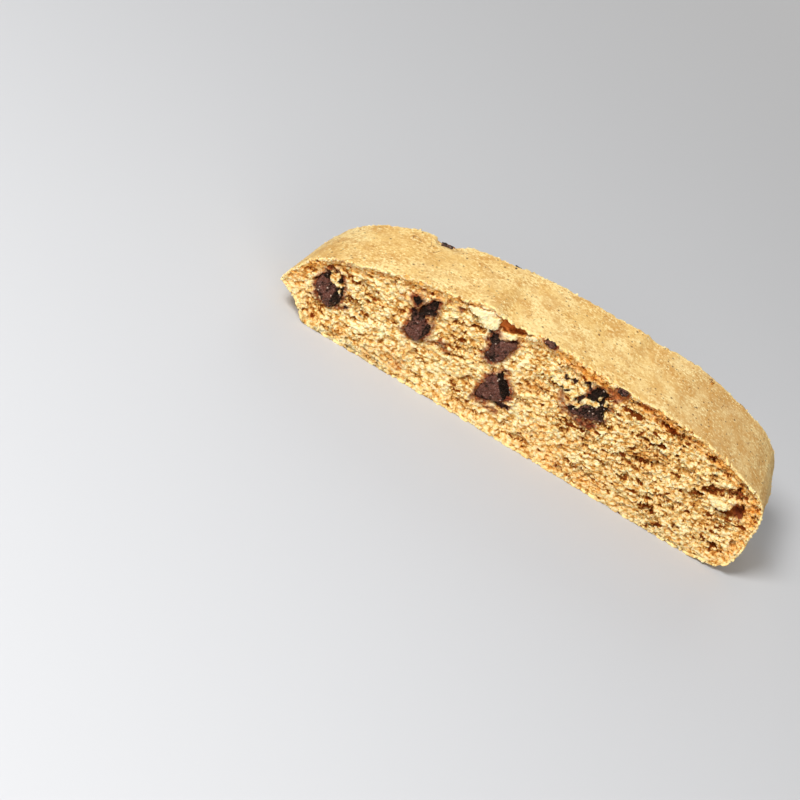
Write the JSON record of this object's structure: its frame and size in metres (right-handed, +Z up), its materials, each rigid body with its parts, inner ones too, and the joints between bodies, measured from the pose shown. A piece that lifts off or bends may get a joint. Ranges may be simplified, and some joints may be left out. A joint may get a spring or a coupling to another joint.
{
  "type": "biscotti slice",
  "caption": "Slice of twice-baked biscotti with chocolate chips: flat baked base, low domed crust and two open crumb faces. A prop to lay on a plate, tray or table.",
  "frame": {"origin": "centre of the slice's box on the plane of its flat baked base", "axes": "+X along the slice's length, +Y through its thickness from the front cut face to the back one, +Z up from the base to the domed crust"},
  "size_m": [0.1444, 0.025, 0.0363],
  "materials": {
    "baked_crumb": null,
    "dark_chocolate": null
  },
  "bodies": {
    "root": {"biscuit": "baked_crumb", "chip_front_1": "dark_chocolate", "chip_front_2": "dark_chocolate", "chip_front_3": "dark_chocolate", "chip_front_4": "dark_chocolate", "chip_front_5": "dark_chocolate", "chip_front_6": "dark_chocolate", "chip_front_7": "dark_chocolate", "chip_back_1": "dark_chocolate", "chip_back_2": "dark_chocolate", "chip_back_3": "dark_chocolate", "chip_back_4": "dark_chocolate", "chip_back_5": "dark_chocolate", "chip_lip_1": "dark_chocolate", "chip_lip_2": "dark_chocolate", "chip_lip_3": "dark_chocolate", "chip_lip_4": "dark_chocolate"}
  },
  "joints": []
}
